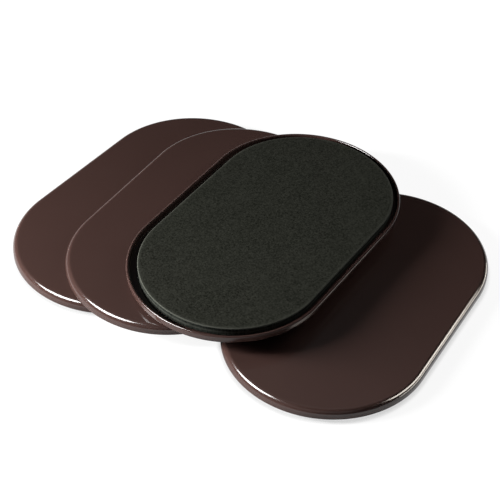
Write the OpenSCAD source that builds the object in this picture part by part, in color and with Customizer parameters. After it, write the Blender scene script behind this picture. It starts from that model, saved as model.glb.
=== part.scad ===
// Set of four oblong furniture sliders, fanned out and stacked.
//
// Each slider is a shallow moulded plastic tray, a thin adhesive film on the tray's
// floor and a foam rubber pad held by the film. A furniture leg stands on the pad,
// and the tray's smooth round-edged face glides over the carpet.
// Three sliders lie with the sliding face up and the pad on what is under them. The
// top one lies with its pad up.
//
// Frame: +X to the right, +Y to the back, +Z up, with the origin on the floor under
// the middle of the set. A single slider is drawn with its length along X and its
// sliding face down on Z = 0.

/* [Slider] */
// Length of a slider over its rim
slider_length = 241; // [200:1:280]
// Width of a slider over its rim
slider_width = 146; // [120:1:170]

/* [Tray] */
// Height of the tray from its sliding face to the top of its rim
tray_height = 7.2; // [6.6:0.1:8.4]
// Thickness of the tray's floor
tray_floor = 2.4; // [1.8:0.1:3]
// Thickness of the tray's wall
tray_wall = 2.2; // [1.6:0.1:2.6]
// Radius of the rounded edge of the sliding face
edge_radius = 4; // [3:0.1:5]
// Radius inside the tray where the wall meets the floor
inner_radius = 1.4; // [0.6:0.1:2]

/* [Pad] */
// Gap between the tray's wall and the pad
pad_gap = 4.5; // [3:0.1:7]
// Thickness of the foam pad
pad_thickness = 6.5; // [5.5:0.1:8]
// Radius of the pad's upper edge
pad_edge_radius = 0.7; // [0.3:0.1:1.5]

/* [Adhesive film] */
// Thickness of the film that holds the pad
film_thickness = 0.3; // [0.1:0.05:0.6]
// Distance that the film stays inside the pad's edge
film_inset = 2; // [1:0.5:5]

/* [Layout] */
// Angle of the fan's long direction from the X axis, in degrees
fan_angle = 58; // [45:0.5:75]
// Angle of the left slider out of the fan's direction, in degrees
left_skew_angle = -2.5; // [-5:0.5:5]
// Angle of the right slider out of the fan's direction, in degrees
right_skew_angle = 3.5; // [-5:0.5:5]
// Angle of the middle slider out of the fan's direction, in degrees
middle_skew_angle = 1.5; // [-5:0.5:5]
// Angle of the top slider out of the fan's direction, in degrees
top_skew_angle = 0; // [-5:0.5:5]
// Gap between sliders that lie on each other
stack_gap = 0.05; // [0.02:0.01:0.3]
// How far the top slider's pad sits off centre along its length, as a share of its gap
top_pad_along_share = 0.1; // [-0.6:0.05:0.6]
// How far the top slider's pad sits off centre across its width, as a share of its gap
top_pad_across_share = -0.3; // [-0.6:0.05:0.6]

/* [Hidden] */

$fn = 96;

// How far a cut runs past the surface that it opens
overrun = 1;

// The outline of every piece is a straight middle with two half-round ends
straight_length = slider_length - slider_width;
rim_radius = slider_width / 2;
hollow_radius = rim_radius - tray_wall;
pad_radius = hollow_radius - pad_gap;
film_radius = pad_radius - film_inset;

// Heights of a slider that lies on its sliding face
film_base = tray_floor;
pad_base = film_base + film_thickness;
pad_top = pad_base + pad_thickness;
slider_height = max(pad_top, tray_height);
layer_step = slider_height + stack_gap;

// Directions of the fan along the sliders and across them
fan_along = [cos(fan_angle), sin(fan_angle)];
fan_across = [sin(fan_angle), -cos(fan_angle)];

// Middle of each slider, measured from the top one's: along the fan as a share of the
// slider's length, and across the fan as a share of its width
left_place_shares = [-0.045, -0.635];
right_place_shares = [-0.02, 0.555];
middle_place_shares = [-0.05, -0.315];
top_place_shares = [0, 0];

// Each slider as its place, its angle, the layer it lies in and whether its pad is up
left_slider = [spot(left_place_shares), fan_angle + left_skew_angle, 0, false];
right_slider = [spot(right_place_shares), fan_angle + right_skew_angle, 0, false];
middle_slider = [spot(middle_place_shares), fan_angle + middle_skew_angle, 1, false];
top_slider = [spot(top_place_shares), fan_angle + top_skew_angle, 2, true];
sliders = [left_slider, right_slider, middle_slider, top_slider];

function spot(shares) =
    shares[0] * slider_length * fan_along + shares[1] * slider_width * fan_across;
function place(slider) = slider[0];
function angle(slider) = slider[1];
function layer(slider) = slider[2];
function pad_is_up(slider) = slider[3];

// Half the room that a turned slider takes along X and along Y
function reach(slider) =
    let (half_straight = straight_length / 2)
    [half_straight * abs(cos(angle(slider))) + rim_radius,
     half_straight * abs(sin(angle(slider))) + rim_radius];

// Middle of the room that the whole set takes, along one axis
function set_middle(axis) =
    let (low = min([for (s = sliders) place(s)[axis] - reach(s)[axis]]))
    let (high = max([for (s = sliders) place(s)[axis] + reach(s)[axis]]))
    (low + high) / 2;
set_centre = [set_middle(0), set_middle(1)];

// Lays a slider's piece in its place in the set
module lay(slider) {
    middle = place(slider) - set_centre;
    translate([middle[0], middle[1], layer(slider) * layer_step])
        rotate(angle(slider))
            if (pad_is_up(slider))
                children();
            else
                translate([0, 0, slider_height])
                    rotate([180, 0, 0])
                        children();
}

// The right half of a section, which is turned to make a round end
module right_half() {
    intersection() {
        children();
        translate([0, -overrun])
            square([rim_radius + overrun, slider_height + 2 * overrun]);
    }
}

// Carries a section across the width along the straight middle and round both ends
module oblong() {
    rotate([90, 0, 90])
        linear_extrude(straight_length, center = true)
            children();
    for (end_turn = [0, 180])
        rotate(end_turn)
            translate([straight_length / 2, 0, 0])
                rotate(-90)
                    rotate_extrude(angle = 180)
                        right_half()
                            children();
}

// A bar centred across the width, from one height to another
module bar(half_width, low, high) {
    translate([-half_width, low])
        square([2 * half_width, high - low]);
}

// A bar with its two lower corners rounded
module round_bottomed_bar(half_width, low, high, radius) {
    bar(half_width - radius, low, high);
    bar(half_width, low + radius, high);
    intersection() {
        bar(half_width, low, high);
        for (side = [-1, 1])
            translate([side * (half_width - radius), low + radius])
                circle(radius);
    }
}

// Section of the tray: a flat floor, a rounded outer edge and a wall with a round rim
module tray_section() {
    rim_round = tray_wall / 2;
    difference() {
        round_bottomed_bar(rim_radius, 0, tray_height - rim_round, edge_radius);
        round_bottomed_bar(hollow_radius, tray_floor, tray_height + overrun, inner_radius);
    }
    for (side = [-1, 1])
        translate([side * (rim_radius - rim_round), tray_height - rim_round])
            circle(rim_round);
}

// Moulded tray of glossy dark brown plastic
module tray() {
    color([0.24, 0.18, 0.165])
        oblong()
            tray_section();
}

// Moves the top slider's pad and film to where they were stuck, a little off centre
module off_centre() {
    translate([top_pad_along_share * pad_gap, top_pad_across_share * pad_gap, 0])
        children();
}

// Double-sided adhesive film between the tray's floor and the pad
module film() {
    color([0.85, 0.83, 0.76])
        oblong()
            bar(film_radius, film_base, pad_base);
}

// Die-cut foam rubber pad, flat below and with a softly rounded upper edge
module pad() {
    color([0.165, 0.172, 0.157])
        oblong()
            mirror([0, 1])
                round_bottomed_bar(pad_radius, -pad_top, -pad_base, pad_edge_radius);
}

lay(left_slider) tray();  // left_tray
lay(left_slider) film();  // left_film
lay(left_slider) pad();  // left_pad
lay(right_slider) tray();  // right_tray
lay(right_slider) film();  // right_film
lay(right_slider) pad();  // right_pad
lay(middle_slider) tray();  // middle_tray
lay(middle_slider) film();  // middle_film
lay(middle_slider) pad();  // middle_pad
lay(top_slider) tray();  // top_tray
lay(top_slider) off_centre() film();  // top_film
lay(top_slider) off_centre() pad();  // top_pad
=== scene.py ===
# %% [markdown]
# # A set of furniture sliders
# Four oblong furniture sliders lie fanned out and stacked. Each is a shallow tray of
# glossy brown plastic with a foam rubber pad stuck into it. The frame holds the solids
# in metres, where they belong. A dressed model could keep those solids and only paint
# them, but their round edges are made of facets. So the trays and pads are worked out
# again here as finer surfaces on the same sections, and the films keep their solids.

import bmesh
import bpy
import numpy as np
from mathutils import Matrix, Vector


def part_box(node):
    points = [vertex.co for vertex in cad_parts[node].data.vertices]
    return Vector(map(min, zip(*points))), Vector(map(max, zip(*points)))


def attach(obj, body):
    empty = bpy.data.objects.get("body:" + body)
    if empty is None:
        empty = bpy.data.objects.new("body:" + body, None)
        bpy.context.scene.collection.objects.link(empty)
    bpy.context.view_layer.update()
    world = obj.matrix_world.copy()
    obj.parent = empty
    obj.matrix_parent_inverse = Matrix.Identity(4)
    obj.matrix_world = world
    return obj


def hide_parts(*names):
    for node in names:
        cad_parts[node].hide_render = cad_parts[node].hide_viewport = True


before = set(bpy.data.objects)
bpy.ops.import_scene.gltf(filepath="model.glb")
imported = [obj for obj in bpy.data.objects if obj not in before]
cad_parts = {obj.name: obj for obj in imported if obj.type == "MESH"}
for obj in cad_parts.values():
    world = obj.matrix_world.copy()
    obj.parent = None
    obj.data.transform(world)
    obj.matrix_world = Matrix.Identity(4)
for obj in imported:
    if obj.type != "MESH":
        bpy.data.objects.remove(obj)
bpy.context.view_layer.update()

# %% [markdown]
# ## Where the sliders lie
# A slider's outline is a straight middle with two half-round ends. Turned by an angle,
# it takes half_straight * cos(angle) + radius along X and half_straight * sin(angle) +
# radius along Y on either side of its middle. The box of a tray in the frame gives both
# numbers, so the place, the angle and the straight length can all be read back from it,
# and nothing has to be typed in twice.

# %% Read the places back from the frame
RIM_RADIUS = 0.073
SLIDERS_WITH_PAD_UP = {"left": False, "right": False, "middle": False, "top": True}


def read_slider(name, pad_is_up):
    """Middle, angle and heights of one slider, from the boxes of its three nodes."""
    tray_low, tray_high = (np.array(corner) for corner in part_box(name + "_tray"))
    film_low, film_high = (np.array(corner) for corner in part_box(name + "_film"))
    pad_low, pad_high = (np.array(corner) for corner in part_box(name + "_pad"))
    along_x, along_y = (tray_high - tray_low)[:2] / 2 - RIM_RADIUS
    pad_reach_x = (pad_high - pad_low)[0] / 2
    face = tray_low[2] if pad_is_up else tray_high[2]
    return {
        "name": name,
        "pad_is_up": pad_is_up,
        "angle": np.arctan2(along_y, along_x),
        "half_straight": np.hypot(along_x, along_y),
        "face": face,
        "tray_middle": (tray_low + tray_high)[:2] / 2,
        "tray_height": tray_high[2] - tray_low[2],
        "floor": min(abs(film_low[2] - face), abs(film_high[2] - face)),
        "pad_middle": (pad_low + pad_high)[:2] / 2,
        "pad_radius": pad_reach_x - along_x,
        "pad_base": min(abs(pad_low[2] - face), abs(pad_high[2] - face)),
        "pad_top": max(abs(pad_low[2] - face), abs(pad_high[2] - face)),
    }


sliders = [read_slider(name, up) for name, up in SLIDERS_WITH_PAD_UP.items()]
for slider in sliders:
    turned = np.degrees(slider["angle"])
    print(slider["name"], "lies at", slider["tray_middle"].round(4), "turned", turned.round(2))

# %% [markdown]
# ## One outline for every piece
# Tray and pad share the same kind of outline, so one path serves both. The path keeps
# two things at every step: an anchor on the middle line, and the direction that points
# straight out from it. A section is a row of distances and heights. Carrying it round
# means adding distance times direction to each anchor, which is one line of numpy.
# Spin and extrude tools could make the same shape in three pieces that then need joining.

# %% Path round the outline
STEPS_ROUND_AN_END = 96
STEPS_ALONG_A_SIDE = 40


def oblong_path(half_straight):
    """Anchors and outward directions round the outline: an end, a side, an end, a side.

    An end turns on the spot with directions (cos t, sin t). A side moves its anchor
    along the middle line while its direction stays square to it.
    """
    quarter = np.pi / 2
    turn = np.linspace(-quarter, quarter, STEPS_ROUND_AN_END + 1)
    end_out = np.stack([np.cos(turn), np.sin(turn)], axis=1)
    end_anchor = np.tile([half_straight, 0.0], (len(turn), 1))
    travel = np.linspace(half_straight, -half_straight, STEPS_ALONG_A_SIDE + 1)[1:-1]
    side_out = np.tile([0.0, 1.0], (len(travel), 1))
    side_anchor = np.stack([travel, np.zeros_like(travel)], axis=1)
    anchors = np.concatenate([end_anchor, side_anchor, -end_anchor, -side_anchor])
    outward = np.concatenate([end_out, side_out, -end_out, -side_out])
    return anchors, outward


def carry(section, half_straight):
    """Grid of points: anchor + distance * outward direction, at the section's heights."""
    anchors, outward = oblong_path(half_straight)
    distance, height = section
    flat = anchors[:, None, :] + distance[None, :, None] * outward[:, None, :]
    heights = np.broadcast_to(height[None, :, None], flat.shape[:2] + (1,))
    return np.concatenate([flat, heights], axis=2)


def lay(points, slider, middle):
    """Turns a slider's own points into the set: flip it if its face is up, turn, move."""
    flip = 1.0 if slider["pad_is_up"] else -1.0
    cosine, sine = np.cos(slider["angle"]), np.sin(slider["angle"])
    along, across, height = points[..., 0], flip * points[..., 1], flip * points[..., 2]
    x = middle[0] + cosine * along - sine * across
    y = middle[1] + sine * along + cosine * across
    return np.stack([x, y, slider["face"] + height], axis=-1)


print("outline has", len(oblong_path(1.0)[0]), "steps")

# %% [markdown]
# ## From a grid of points to a closed mesh
# Neighbouring points of the grid become quads, and the last column joins the first.
# A section starts and ends on the middle line, where many points fall together. Merging
# them closes the surface, and after that its faces can all be turned outwards. Smooth
# shading then makes the round edges look round.

# %% Mesh from a grid
MERGE_DISTANCE = 1e-6


def closed_mesh(name, grid, point_values=None):
    """Object with a mesh of the grid, closed round the path and along the middle line."""
    steps, rows = grid.shape[:2]
    index = np.arange(steps * rows).reshape(steps, rows)
    ahead = np.roll(index, -1, axis=0)
    quads = np.stack([index[:, :-1], ahead[:, :-1], ahead[:, 1:], index[:, 1:]], axis=-1)
    mesh = bpy.data.meshes.new(name)
    mesh.from_pydata(grid.reshape(-1, 3), [], quads.reshape(-1, 4))
    for label, values in (point_values or {}).items():
        layer = mesh.attributes.new(label, "FLOAT", "POINT")
        layer.data.foreach_set("value", values.ravel().astype(np.float32))
    shell = bmesh.new()
    shell.from_mesh(mesh)
    bmesh.ops.remove_doubles(shell, verts=shell.verts, dist=MERGE_DISTANCE)
    bmesh.ops.recalc_face_normals(shell, faces=shell.faces)
    shell.to_mesh(mesh)
    shell.free()
    mesh.polygons.foreach_set("use_smooth", np.ones(len(mesh.polygons), dtype=bool))
    piece = bpy.data.objects.new(name, mesh)
    bpy.context.collection.objects.link(piece)
    return piece


def arc(middle, radius, start, stop, count):
    """Points of a circle round middle, from one angle in degrees to another."""
    turn = np.radians(np.linspace(start, stop, count))
    return np.stack([middle[0] + radius * np.cos(turn), middle[1] + radius * np.sin(turn)])


print("points closer than", MERGE_DISTANCE, "m are merged")

# %% [markdown]
# ## Trays
# A tray is one moulding: a flat sliding face, an edge with a generous radius that rides
# up over carpet, a low wall with a fully round rim, and a floor for the pad. It could be
# a bevelled solid, but a section with real arcs gives the highlights on the edge exactly
# the width that the radius asks for. One more row stands close beside each end of an arc,
# so that the flat faces stay flat when they are shaded smooth.

# %% Section of the tray
TRAY_WALL = 0.0022
EDGE_RADIUS = 0.004
INNER_RADIUS = 0.0014
ROW_GAP = 0.00012
FLAT_ROWS = np.array([0.0, 0.25, 0.5, 0.75, 0.92])
EDGE_POINTS, RIM_POINTS, CORNER_POINTS = 20, 15, 9


def tray_section(height, floor):
    """Distance from the middle line and height: out under the face, up, and back inside."""
    edge_middle = (RIM_RADIUS - EDGE_RADIUS, EDGE_RADIUS)
    rim_round = TRAY_WALL / 2
    rim_middle = (RIM_RADIUS - rim_round, height - rim_round)
    hollow_radius = RIM_RADIUS - TRAY_WALL
    inner_middle = (hollow_radius - INNER_RADIUS, floor + INNER_RADIUS)
    face_rows = np.append(FLAT_ROWS * edge_middle[0], edge_middle[0] - ROW_GAP)
    face = np.stack([face_rows, np.zeros_like(face_rows)])
    edge = arc(edge_middle, EDGE_RADIUS, -90, 0, EDGE_POINTS)
    outer_wall = np.array([[RIM_RADIUS] * 2, [EDGE_RADIUS + ROW_GAP, rim_middle[1] - ROW_GAP]])
    rim = arc(rim_middle, rim_round, 0, 180, RIM_POINTS)
    inner_heights = [rim_middle[1] - ROW_GAP, inner_middle[1] + ROW_GAP]
    inner_wall = np.array([[hollow_radius] * 2, inner_heights])
    corner = arc(inner_middle, INNER_RADIUS, 0, -90, CORNER_POINTS)
    floor_rows = np.append(FLAT_ROWS * inner_middle[0], inner_middle[0] - ROW_GAP)[::-1]
    ground = np.stack([floor_rows, np.full_like(floor_rows, floor)])
    return np.concatenate([face, edge, outer_wall, rim, inner_wall, corner, ground], axis=1)


sample = sliders[0]
section = tray_section(sample["tray_height"], sample["floor"])
print("tray section has", section.shape[1], "points")

# %% Trays in their places
trays = []
for slider in sliders:
    section = tray_section(slider["tray_height"], slider["floor"])
    grid = carry(section, slider["half_straight"])
    node = slider["name"] + "_tray"
    tray = closed_mesh(node + "_moulding", lay(grid, slider, slider["tray_middle"]))
    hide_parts(node)
    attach(tray, slider["name"] + "_slider")
    trays.append(tray)
    print(tray.name, "has", len(tray.data.polygons), "faces")

# %% [markdown]
# ## Foam pads
# A pad is cut from a sheet of foam rubber with a die. The die squeezes the sheet before
# it cuts, so the side ends up drawn in a little halfway down, the upper edge is soft and
# the face falls away slightly towards it. Cloth simulation suits sewn and stuffed pads,
# but this one is a solid sheet, so its section is drawn directly. The face also gets a
# slow unevenness that only ever goes down from the full height.

# %% Section of the pad
PAD_EDGE_RADIUS = 0.0007
SIDE_DRAWN_IN = 0.0003
FACE_FALL = 0.00008
FACE_FALL_WIDTH = 0.006
UNEVENNESS = 0.00008
WAVES_ALONG, WAVES_ACROSS = 95.0, 120.0
WAVE_STARTS = (0.7, 1.9)
SIDE_ROW_COUNT, PAD_EDGE_POINTS, FACE_ROW_COUNT = 18, 9, 40


def pad_section(radius, base, top):
    """Distance and height, from the middle of the base round the side to the face.

    The side is a straight line less SIDE_DRAWN_IN * sin(pi * share of the way up).
    """
    base_rows = np.append(FLAT_ROWS * (radius - PAD_EDGE_RADIUS), radius - ROW_GAP)
    bottom = np.stack([base_rows, np.full_like(base_rows, base)])
    edge_middle = (radius - PAD_EDGE_RADIUS, top - PAD_EDGE_RADIUS)
    way_up = np.linspace(0.0, 1.0, SIDE_ROW_COUNT, endpoint=False)
    side_height = base + way_up * (edge_middle[1] - base)
    side = np.stack([radius - SIDE_DRAWN_IN * np.sin(np.pi * way_up), side_height])
    edge = arc(edge_middle, PAD_EDGE_RADIUS, 0, 90, PAD_EDGE_POINTS)
    face_rows = np.linspace(edge_middle[0] - ROW_GAP, 0.0, FACE_ROW_COUNT)
    face = np.stack([face_rows, np.full_like(face_rows, top)])
    return np.concatenate([bottom, side, edge, face], axis=1)


def settle_face(grid, radius, base, top):
    """Lowers the points near the face: the fall to the edge, and the slow unevenness.

    The fall is FACE_FALL * (1 - inset / FACE_FALL_WIDTH) squared within that width. The
    unevenness is a product of two sines of the place, between 0 and UNEVENNESS.
    """
    share_up = np.clip((grid[..., 2] - base) / (top - base), 0.0, 1.0)
    half_straight = grid[..., 0].max() - radius
    beyond = np.clip(np.abs(grid[..., 0]) - half_straight, 0.0, None)
    inset = radius - np.hypot(beyond, grid[..., 1])
    fall = FACE_FALL * np.clip(1.0 - inset / FACE_FALL_WIDTH, 0.0, 1.0) ** 2
    wave_along = np.sin(grid[..., 0] * WAVES_ALONG + WAVE_STARTS[0])
    wave = wave_along * np.sin(grid[..., 1] * WAVES_ACROSS + WAVE_STARTS[1])
    settled = grid.copy()
    settled[..., 2] -= share_up * (fall + UNEVENNESS * (0.5 + 0.5 * wave))
    return settled


section = pad_section(sample["pad_radius"], sample["pad_base"], sample["pad_top"])
print("pad section has", section.shape[1], "points")

# %% [markdown]
# ## Painted highlights on the cut
# The upper edge and a line along the side are painted paler: painted highlights, where the
# rounded edge and the side catch the light. The finish could place them by height, but the
# pads lie both ways up. So each point of the mesh keeps how much painted highlight it has
# and whether it is on the cut side, and the finish reads these values later.

# %% Painted highlights and cut side along the section
EDGE_HIGHLIGHT_WIDTH = 0.0010
SIDE_LINE_SHARE_UP = 0.42
SIDE_LINE_WIDTH = 0.0012
SIDE_LINE_HIGHLIGHT = 0.55


def cut_side_and_highlights(section, radius, base, top):
    """Two values for each point of the section: its painted highlight, and 1 on the cut side.

    The painted highlight is 1 - distance / EDGE_HIGHLIGHT_WIDTH round the upper edge, and
    SIDE_LINE_HIGHLIGHT * (1 - distance / SIDE_LINE_WIDTH) round the line on the side. The larger
    one counts.
    """
    distance, height = section
    from_upper_edge = np.hypot(radius - distance, top - height)
    line_height = base + SIDE_LINE_SHARE_UP * (top - base)
    from_side_line = np.hypot(radius - distance, line_height - height)
    # Painted highlight: the upper edge and a line on the side are made paler where they catch the
    # light.
    edge_highlight = np.clip(1.0 - from_upper_edge / EDGE_HIGHLIGHT_WIDTH, 0.0, 1.0)
    line_highlight = SIDE_LINE_HIGHLIGHT * np.clip(1.0 - from_side_line / SIDE_LINE_WIDTH, 0.0, 1.0)
    on_side = (distance > radius - PAD_EDGE_RADIUS) & (height < top - PAD_EDGE_RADIUS / 2)
    return {"painted_highlight": np.maximum(edge_highlight, line_highlight), "cut_side": on_side.astype(float)}


print("the side's pale line lies", SIDE_LINE_SHARE_UP, "of the way up")

# %% Pads in their places
pads = []
for slider in sliders:
    radius, base, top = slider["pad_radius"], slider["pad_base"], slider["pad_top"]
    section = pad_section(radius, base, top)
    grid = carry(section, slider["half_straight"])
    marks = {
        label: np.broadcast_to(values, grid.shape[:2])
        for label, values in cut_side_and_highlights(section, radius, base, top).items()
    }
    placed = lay(settle_face(grid, radius, base, top), slider, slider["pad_middle"])
    node = slider["name"] + "_pad"
    pad = closed_mesh(node + "_foam", placed, marks)
    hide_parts(node)
    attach(pad, slider["name"] + "_slider")
    pads.append(pad)
    print(pad.name, "has", len(pad.data.polygons), "faces")

# %% [markdown]
# ## A start for every finish
# Each finish below begins with the same few nodes: the surface shader, its output and
# the coordinates of the object. Object coordinates are metres on the real thing, so a
# noise of scale 1000 has grains about a millimetre wide, whatever the piece's size. Small
# helpers add one node each and hand back its result, so that a finish reads like a recipe.

# %% Start a finish
NOISE_LOW, NOISE_HIGH = 0.3, 0.7
# Places of the two colours among a Mix node's inputs, and of the result among its outputs
COLOUR_SOCKETS = (6, 7)
COLOUR_RESULT = 2


def start_finish(name):
    """Empty material with its shader, and the object's own coordinates."""
    finish = bpy.data.materials.new(name)
    finish.use_nodes = True
    tree = finish.node_tree
    shader = tree.nodes["Principled BSDF"]
    place = tree.nodes.new("ShaderNodeTexCoord").outputs["Object"]
    return finish, tree, shader, place


def grain(tree, place, scale, detail=2.0, roughness=0.5):
    """Noise between 0 and 1, with scale grains to the metre."""
    noise = tree.nodes.new("ShaderNodeTexNoise")
    noise.inputs["Scale"].default_value = scale
    noise.inputs["Detail"].default_value = detail
    noise.inputs["Roughness"].default_value = roughness
    tree.links.new(place, noise.inputs["Vector"])
    return noise.outputs["Fac"]


def surface_value(tree, label):
    """Value that the mesh keeps at each of its points under this label."""
    kept = tree.nodes.new("ShaderNodeAttribute")
    kept.attribute_name = label
    return kept.outputs["Fac"]


def slope(tree, value, start, stop, low, high):
    """Goes from low to high while the value goes from start to stop, and is level beyond."""
    remap = tree.nodes.new("ShaderNodeMapRange")
    remap.inputs["From Min"].default_value = start
    remap.inputs["From Max"].default_value = stop
    remap.inputs["To Min"].default_value = low
    remap.inputs["To Max"].default_value = high
    tree.links.new(value, remap.inputs["Value"])
    return remap.outputs["Result"]


def between(tree, noise, low, high):
    """Maps the range in which most of a noise lies to low and high."""
    return slope(tree, noise, NOISE_LOW, NOISE_HIGH, low, high)


def blend_colours(tree, share, first, second):
    """Colour that goes from first to second with the share. Either may be a socket."""
    mix = tree.nodes.new("ShaderNodeMix")
    mix.data_type = "RGBA"
    tree.links.new(share, mix.inputs["Factor"])
    for socket, colour in zip(COLOUR_SOCKETS, (first, second)):
        if isinstance(colour, tuple):
            mix.inputs[socket].default_value = colour + (1.0,)
        else:
            tree.links.new(colour, mix.inputs[socket])
    return mix.outputs[COLOUR_RESULT]


def raise_surface(tree, shader, height, strength, depth):
    """Bump from a height between 0 and 1, as deep as depth in metres."""
    bump = tree.nodes.new("ShaderNodeBump")
    bump.inputs["Strength"].default_value = strength
    bump.inputs["Distance"].default_value = depth
    tree.links.new(height, bump.inputs["Height"])
    tree.links.new(bump.outputs["Normal"], shader.inputs["Normal"])


print("most of a noise lies between", NOISE_LOW, "and", NOISE_HIGH)

# %% [markdown]
# ## Glossy brown plastic
# The trays are injection moulded in a dark warm brown, with a polished skin that gives
# crisp highlights on the round edge and soft reflections on the flats. The colour drifts
# a little where the melt flowed, the gloss is slightly uneven from handling, and the skin
# has a hint of ripple. A clear coat over a rougher body would be another way to get crisp
# highlights, but this skin is the plastic itself, so one low roughness is nearer to it.

# %% Brown plastic
BROWN_DEEP = (0.0380, 0.0205, 0.0174)
BROWN_WARM = (0.0450, 0.0245, 0.0208)
FLOW_GRAINS, HANDLING_GRAINS, RIPPLE_GRAINS = 14.0, 60.0, 260.0
POLISHED, HANDLED = 0.12, 0.17
RIPPLE_STRENGTH = 0.05
RIPPLE_DEPTH = 0.00008


def brown_plastic():
    """Moulded plastic: drifting brown, uneven gloss, faint ripple and a polished skin."""
    finish, tree, shader, place = start_finish("brown_plastic")
    flow = grain(tree, place, FLOW_GRAINS, detail=3.0)
    tree.links.new(blend_colours(tree, flow, BROWN_DEEP, BROWN_WARM), shader.inputs["Base Color"])
    handling = grain(tree, place, HANDLING_GRAINS, detail=4.0, roughness=0.6)
    tree.links.new(between(tree, handling, POLISHED, HANDLED), shader.inputs["Roughness"])
    ripple = grain(tree, place, RIPPLE_GRAINS)
    raise_surface(tree, shader, ripple, RIPPLE_STRENGTH, RIPPLE_DEPTH)
    return finish


plastic = brown_plastic()
print(plastic.name, "has", len(plastic.node_tree.nodes), "nodes")

# %% [markdown]
# ## Foam rubber
# The pads are closed-cell foam rubber: matt, nearly black with a cast of green, and full
# of fine pores that show as a speckle. The speckle is a noise of about a millimetre on a
# slow drift, and it also drives the bump, so dark pores are low. On the cut side the cells
# are torn and stretched upwards. The upper edge and a line along the side are painted
# paler, as painted highlights where they catch the light.

# %% Foam rubber
FOAM_DARK = (0.0058, 0.0064, 0.0046)
FOAM_PALE = (0.0305, 0.0316, 0.0254)
# Painted highlight colour for the upper edge and the line on the side.
FOAM_PAINTED_HIGHLIGHT = (0.075, 0.077, 0.065)
SIDE_DARK = (0.0034, 0.0042, 0.0034)
SIDE_PALE = (0.0320, 0.0350, 0.0300)
CELL_STRETCH = (1.0, 1.0, 0.3)
PORE_GRAINS, DRIFT_GRAINS, CELL_GRAINS = 850.0, 45.0, 900.0
MOST_DRIFT = 0.15
FOAM_ROUGHNESS = 0.92
FOAM_SHINE = 0.15
PORE_STRENGTH = 0.5
PORE_DEPTH = 0.0003


def foam_rubber():
    """Matt foam: a millimetre speckle on a slow drift, a torn side and painted highlights."""
    finish, tree, shader, place = start_finish("foam_rubber")
    pores = grain(tree, place, PORE_GRAINS, detail=3.0, roughness=0.6)
    drift = grain(tree, place, DRIFT_GRAINS)
    speckled = blend_colours(tree, between(tree, pores, 0.0, 1.0), FOAM_DARK, FOAM_PALE)
    drifting = blend_colours(tree, between(tree, drift, 0.0, MOST_DRIFT), speckled, FOAM_PALE)
    stretched = tree.nodes.new("ShaderNodeMapping")
    stretched.inputs["Scale"].default_value = CELL_STRETCH
    tree.links.new(place, stretched.inputs["Vector"])
    cells = grain(tree, stretched.outputs["Vector"], CELL_GRAINS, roughness=0.6)
    torn = blend_colours(tree, between(tree, cells, 0.0, 1.0), SIDE_DARK, SIDE_PALE)
    with_side = blend_colours(tree, surface_value(tree, "cut_side"), drifting, torn)
    # Painted highlight: the upper edge and the side line blend towards a paler colour.
    coloured = blend_colours(tree, surface_value(tree, "painted_highlight"), with_side, FOAM_PAINTED_HIGHLIGHT)
    tree.links.new(coloured, shader.inputs["Base Color"])
    shader.inputs["Roughness"].default_value = FOAM_ROUGHNESS
    shader.inputs["Specular IOR Level"].default_value = FOAM_SHINE
    raise_surface(tree, shader, pores, PORE_STRENGTH, PORE_DEPTH)
    return finish


foam = foam_rubber()
print(foam.name, "has", len(foam.node_tree.nodes), "nodes")

# %% [markdown]
# ## Adhesive film
# Each pad is held by a thin film of pale adhesive that only shows where a pad is taken
# off. It could be worked out again like the pad, but it is flat and hidden. So it keeps
# its solid from the frame, and all it needs is a finish: milky, a little uneven in
# thickness, with a soft gloss.

# %% Adhesive film
FILM_MILKY = (0.68, 0.65, 0.55)
FILM_CLEAR = (0.62, 0.57, 0.44)
THICKNESS_GRAINS = 180.0
FILM_ROUGHNESS = 0.45
FILM_STRENGTH = 0.2
FILM_DEPTH = 0.0001


def adhesive_film():
    """Milky adhesive: an uneven layer with a soft gloss."""
    finish, tree, shader, place = start_finish("adhesive")
    thickness = grain(tree, place, THICKNESS_GRAINS, detail=3.0)
    uneven = blend_colours(tree, between(tree, thickness, 0.0, 1.0), FILM_MILKY, FILM_CLEAR)
    tree.links.new(uneven, shader.inputs["Base Color"])
    shader.inputs["Roughness"].default_value = FILM_ROUGHNESS
    raise_surface(tree, shader, thickness, FILM_STRENGTH, FILM_DEPTH)
    return finish


adhesive = adhesive_film()
print(adhesive.name, "has", len(adhesive.node_tree.nodes), "nodes")

# %% Hand out the finishes
def coat(piece, finish):
    """Gives a piece this finish and no other."""
    piece.data.materials.clear()
    piece.data.materials.append(finish)


for tray in trays:
    coat(tray, plastic)
for pad in pads:
    coat(pad, foam)
for slider in sliders:
    coat(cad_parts[slider["name"] + "_film"], adhesive)
print("finishes:", plastic.name, foam.name, adhesive.name)

# %% [markdown]
# ## White floor
# The set lies on a plain white table. A floor that is only bright enough to look white
# would need more light than the sliders can take, so the floor adds light of its own
# where the camera or a reflection sees it. The rest of what is seen is ordinary paint, so
# the shadow of the set stays on it. The glow is held lower near the set, a faint painted
# shade round it, and rises to full white away from the set. Close to the sliders the glow
# is dimmed by how much they hide of the sky, which paints a contact shade. Reflections of
# the floor left of a set X take that painted shade deeper, so the walls on the left and
# front stay dark, and the walls on the right stay bright.

# %% Glow of the floor
# Painted contact shade on the floor's glow, and the X range where reflections see it deeper.
CONTACT_WIDTH_SEEN = 0.004
CONTACT_WIDTH_REFLECTED = 0.04
CONTACT_POWER_SEEN, CONTACT_POWER_REFLECTED = 1.0, 3.0
CONTACT_SAMPLES = 8
SHADED_UP_TO, LIT_FROM = 0.08, 0.13
GLOW_AT_SET, FULL_GLOW = 0.90, 1.0
GLOW_RISES_FROM, GLOW_IS_FULL_FROM = 0.17, 0.32


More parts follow.
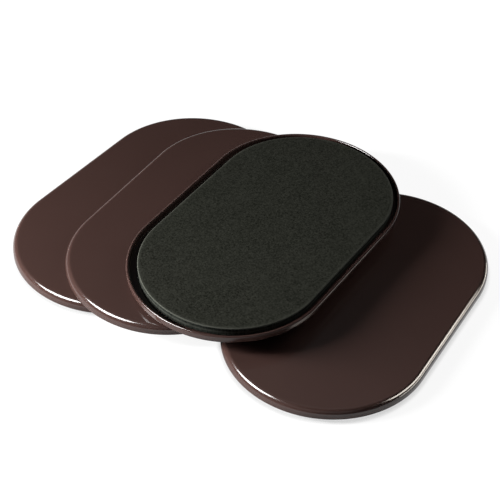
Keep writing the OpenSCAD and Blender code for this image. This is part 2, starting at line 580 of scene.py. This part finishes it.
def combine(tree, operation, first, second):
    """Result of a Math node on two values. The second may be a plain number."""
    node = tree.nodes.new("ShaderNodeMath")
    node.operation = operation
    tree.links.new(first, node.inputs[0])
    if isinstance(second, float):
        node.inputs[1].default_value = second
    else:
        tree.links.new(second, node.inputs[1])
    return node.outputs[0]


def open_sky(tree, reach, power):
    """Share of the sky that nothing within reach hides from the floor, to a power."""
    nearby = tree.nodes.new("ShaderNodeAmbientOcclusion")
    nearby.samples = CONTACT_SAMPLES
    nearby.inputs["Distance"].default_value = reach
    return combine(tree, "POWER", nearby.outputs["AO"], power)


def floor_glow(tree, rays):
    """Strength of the glow: rising away from the set, times the open share of the sky, a
    painted contact shade.

    Reflections take the deeper of the two shares, a deeper painted shade, where X is below
    SHADED_UP_TO, and less of it up to LIT_FROM.
    """
    place = tree.nodes.new("ShaderNodeTexCoord").outputs["Object"]
    parts = tree.nodes.new("ShaderNodeSeparateXYZ")
    tree.links.new(place, parts.inputs[0])
    # Painted shade for reflections on the left and front: a ramp along X, not a cast shadow.
    painted_shade_side = slope(tree, parts.outputs["X"], LIT_FROM, SHADED_UP_TO, 0.0, 1.0)
    painted_contact_shade = tree.nodes.new("ShaderNodeMix")
    deeper = combine(tree, "MULTIPLY", rays["Is Glossy Ray"], painted_shade_side)
    tree.links.new(deeper, painted_contact_shade.inputs["Factor"])
    seen = open_sky(tree, CONTACT_WIDTH_SEEN, CONTACT_POWER_SEEN)
    tree.links.new(seen, painted_contact_shade.inputs["A"])
    reflected = open_sky(tree, CONTACT_WIDTH_REFLECTED, CONTACT_POWER_REFLECTED)
    tree.links.new(reflected, painted_contact_shade.inputs["B"])
    away = tree.nodes.new("ShaderNodeVectorMath")
    away.operation = "LENGTH"
    tree.links.new(place, away.inputs[0])
    distance = away.outputs["Value"]
    level = slope(tree, distance, GLOW_RISES_FROM, GLOW_IS_FULL_FROM, GLOW_AT_SET, FULL_GLOW)
    return combine(tree, "MULTIPLY", painted_contact_shade.outputs["Result"], level)


print("glow rises from", GLOW_AT_SET, "to", FULL_GLOW, "away from the set")

# %% Floor
FLOOR_RADIUS = 12.0
FLOOR_STEPS = 96
FLOOR_BELOW = 0.0002
FLOOR_PAINT = (0.8, 0.8, 0.8, 1.0)
FLOOR_PAINT_SEEN = (0.16, 0.16, 0.16, 1.0)


def paint(tree, colour):
    """Plain matt paint."""
    matt = tree.nodes.new("ShaderNodeBsdfDiffuse")
    matt.inputs["Color"].default_value = colour
    return matt.outputs[0]


def floor_finish():
    """White paint, with a glow for rays from the camera and from reflections."""
    finish = bpy.data.materials.new("white_table")
    finish.use_nodes = True
    tree = finish.node_tree
    tree.nodes.clear()
    rays = tree.nodes.new("ShaderNodeLightPath").outputs
    glow = tree.nodes.new("ShaderNodeEmission")
    tree.links.new(floor_glow(tree, rays), glow.inputs["Strength"])
    glowing = tree.nodes.new("ShaderNodeAddShader")
    tree.links.new(paint(tree, FLOOR_PAINT_SEEN), glowing.inputs[0])
    tree.links.new(glow.outputs[0], glowing.inputs[1])
    seen = combine(tree, "MAXIMUM", rays["Is Camera Ray"], rays["Is Glossy Ray"])
    seen = combine(tree, "MAXIMUM", seen, rays["Is Transmission Ray"])
    choose = tree.nodes.new("ShaderNodeMixShader")
    tree.links.new(seen, choose.inputs[0])
    tree.links.new(paint(tree, FLOOR_PAINT), choose.inputs[1])
    tree.links.new(glowing.outputs[0], choose.inputs[2])
    output = tree.nodes.new("ShaderNodeOutputMaterial")
    tree.links.new(choose.outputs[0], output.inputs["Surface"])
    return finish


round_the_floor = np.linspace(0.0, 2 * np.pi, FLOOR_STEPS, endpoint=False)
floor_edge = np.stack(
    [
        FLOOR_RADIUS * np.cos(round_the_floor),
        FLOOR_RADIUS * np.sin(round_the_floor),
        np.full_like(round_the_floor, -FLOOR_BELOW),
    ],
    axis=1,
)
floor_mesh = bpy.data.meshes.new("table")
floor_mesh.from_pydata(floor_edge, [], [np.arange(len(floor_edge))])
floor = bpy.data.objects.new("table", floor_mesh)
bpy.context.collection.objects.link(floor)
coat(floor, floor_finish())
print("floor lies", FLOOR_BELOW, "m below the pads")

# %% [markdown]
# ## Soft light from the left
# A soft box stands low on the left and is turned past the set, so that the light fades
# towards the back right. The top slider throws a soft shadow over the right one, and a weak
# lamp behind on the right lifts it a little. Bright lines on the round edges come from
# cards that only reflections show, and that reach the trays alone, so that the matt foam
# shows its own colour. The left card is oval, so that its lines taper. The two cards on the
# right are warm and reach only the right tray, because the other trays would mirror them
# into that shadow. The sky is pale near the horizon, which the walls reflect, and dim above,
# with one soft patch of lit ceiling for the flat faces.

# %% Soft boxes
SET_MIDDLE = (0.0, 0.0, 0.01)
BESIDE_SET = (-0.46, -0.67, 0.0)
ACROSS_LIGHT = (0.5, -0.9, 0.0)
# Name, place, point it is turned to, width, height, power in watts
SOFT_BOXES = (
    ("key_box", (-0.91, -0.096, 0.335), BESIDE_SET, 0.50, 0.22, 52.0),
    ("fill_box", (0.45, 0.25, 0.30), SET_MIDDLE, 0.30, 0.30, 1.0),
)


def soft_box(name, place, aim, along, width, height, power):
    """Rectangular lamp at a place, turned to a point, its width along a direction.

    The camera doesn't see the lamp itself.
    """
    lamp = bpy.data.lights.new(name, "AREA")
    lamp.shape = "RECTANGLE"
    lamp.size = width
    lamp.size_y = height
    lamp.energy = power
    backwards = (Vector(place) - Vector(aim)).normalized()
    upwards = backwards.cross(Vector(along)).normalized()
    sideways = upwards.cross(backwards)
    box = bpy.data.objects.new(name, lamp)
    axes = Matrix((sideways, upwards, backwards)).transposed().to_4x4()
    box.matrix_world = Matrix.Translation(place) @ axes
    box.visible_camera = False
    bpy.context.collection.objects.link(box)
    return box


for name, place, aim, width, height, power in SOFT_BOXES:
    box = soft_box(name, place, aim, ACROSS_LIGHT, width, height, power)
    box.visible_glossy = False
    print(box.name, "gives", power, "W")

# %% Cards for the reflections
PLAIN_WHITE = (1.0, 1.0, 1.0)
WARM_WHITE = (1.0, 0.93, 0.84)
RIGHT_TRAY = [bpy.data.objects["right_tray_moulding"]]
# Name, place, direction along its width, width, height, power in watts
CARDS_FOR_ALL = (
    ("left_card", (-0.475, -0.080, 0.640), (0.32, -0.40, 0.19), 0.46, 0.40, 18.0),
    ("front_card", (0.0, -0.70, 0.70), (1.0, 0.0, 0.0), 0.90, 0.50, 0.35),
)
CARDS_FOR_THE_RIGHT = (
    ("right_card", (0.60, -0.03, 0.39), (0.13, 0.42, -0.19), 0.48, 0.24, 6.5),
    ("low_right_card", (0.623, 0.052, 0.055), (-0.259, 0.966, 0.0), 0.72, 0.11, 2.4),
)


def light_only(lamp, pieces):
    """Lets a lamp reach these pieces and no others."""
    reached = bpy.data.collections.new(lamp.name + "_reaches")
    for piece in pieces:
        reached.objects.link(piece)
    lamp.light_linking.receiver_collection = reached


for cards, reached, tint in (
    (CARDS_FOR_ALL, trays, PLAIN_WHITE),
    (CARDS_FOR_THE_RIGHT, RIGHT_TRAY, WARM_WHITE),
):
    for name, place, along, width, height, power in cards:
        card = soft_box(name, place, SET_MIDDLE, along, width, height, power)
        card.data.color = tint
        card.visible_diffuse = False
        light_only(card, reached)
        print(card.name, "reaches", len(reached), "trays")
bpy.data.lights["left_card"].shape = "ELLIPSE"

# %% Sky
SKY_STOPS = ((0.0, 0.5), (0.1, 0.35), (0.25, 0.01), (1.0, 0.01))
CEILING_DIRECTION = (0.0, 0.5, 0.866)
CEILING_STOPS = ((0.0, 0.0), (0.945, 0.0), (0.965, 0.06), (0.985, 0.2), (1.0, 0.3))


def level_along(tree, share, stops_wanted):
    """Grey level that follows the stops along a share from 0 to 1."""
    ramp = tree.nodes.new("ShaderNodeValToRGB")
    stops = ramp.color_ramp.elements
    while len(stops) < len(stops_wanted):
        stops.new(0.5)
    for stop, (position, level) in zip(stops, stops_wanted):
        stop.position = position
        stop.color = (level, level, level, 1.0)
    tree.links.new(share, ramp.inputs[0])
    return ramp.outputs[0]


def sky():
    """World with a level for how high a ray points, plus a soft patch of lit ceiling.

    The patch grows brighter with the cosine between the ray and the ceiling's direction.
    """
    world = bpy.data.worlds.new("studio")
    world.use_nodes = True
    tree = world.node_tree
    direction = tree.nodes.new("ShaderNodeTexCoord").outputs["Generated"]
    parts = tree.nodes.new("ShaderNodeSeparateXYZ")
    tree.links.new(direction, parts.inputs[0])
    towards = tree.nodes.new("ShaderNodeVectorMath")
    towards.operation = "DOT_PRODUCT"
    towards.inputs[1].default_value = CEILING_DIRECTION
    tree.links.new(direction, towards.inputs[0])
    height = level_along(tree, parts.outputs["Z"], SKY_STOPS)
    ceiling = level_along(tree, towards.outputs["Value"], CEILING_STOPS)
    both = combine(tree, "ADD", height, ceiling)
    tree.links.new(both, tree.nodes["Background"].inputs["Color"])
    return world


bpy.context.scene.world = sky()
bpy.context.scene.view_settings.view_transform = "Standard"
print("sky is", SKY_STOPS[0][1], "at the horizon and", SKY_STOPS[-1][1], "above")

# %% [markdown]
# ## Camera
# The picture looks down on the set at about 42 degrees from some way off, with the camera
# rolled very slightly. Rather than turning angles into a rotation by trial, the three axes
# of the camera are built as vectors and put into its matrix.

# %% Camera
PICTURE_WIDTH = 500
FOCAL_LENGTH_IN_PIXELS = 1482.1
CAMERA_HEIGHT_ANGLE = np.radians(41.861)
CAMERA_ROLL = np.radians(2.367)
CAMERA_DISTANCE = 1.0895
LOOK_AT = Vector((-0.00029, 0.00823, 0.0))
NEAREST_SEEN = 0.05

back = Vector((0.0, -np.cos(CAMERA_HEIGHT_ANGLE), np.sin(CAMERA_HEIGHT_ANGLE)))
level_right = Vector((1.0, 0.0, 0.0))
level_up = back.cross(level_right)
right = np.cos(CAMERA_ROLL) * level_right + np.sin(CAMERA_ROLL) * level_up
up = back.cross(right)
lens = bpy.data.cameras.new("camera")
lens.sensor_fit = "HORIZONTAL"
lens.lens = lens.sensor_width * FOCAL_LENGTH_IN_PIXELS / PICTURE_WIDTH
lens.clip_start = NEAREST_SEEN
camera = bpy.data.objects.new("camera", lens)
turn = Matrix((right, up, back)).transposed().to_4x4()
camera.matrix_world = Matrix.Translation(LOOK_AT + CAMERA_DISTANCE * back) @ turn
bpy.context.collection.objects.link(camera)
bpy.context.scene.camera = camera
print("lens", round(lens.lens, 1), "mm at", [round(value, 3) for value in camera.location])
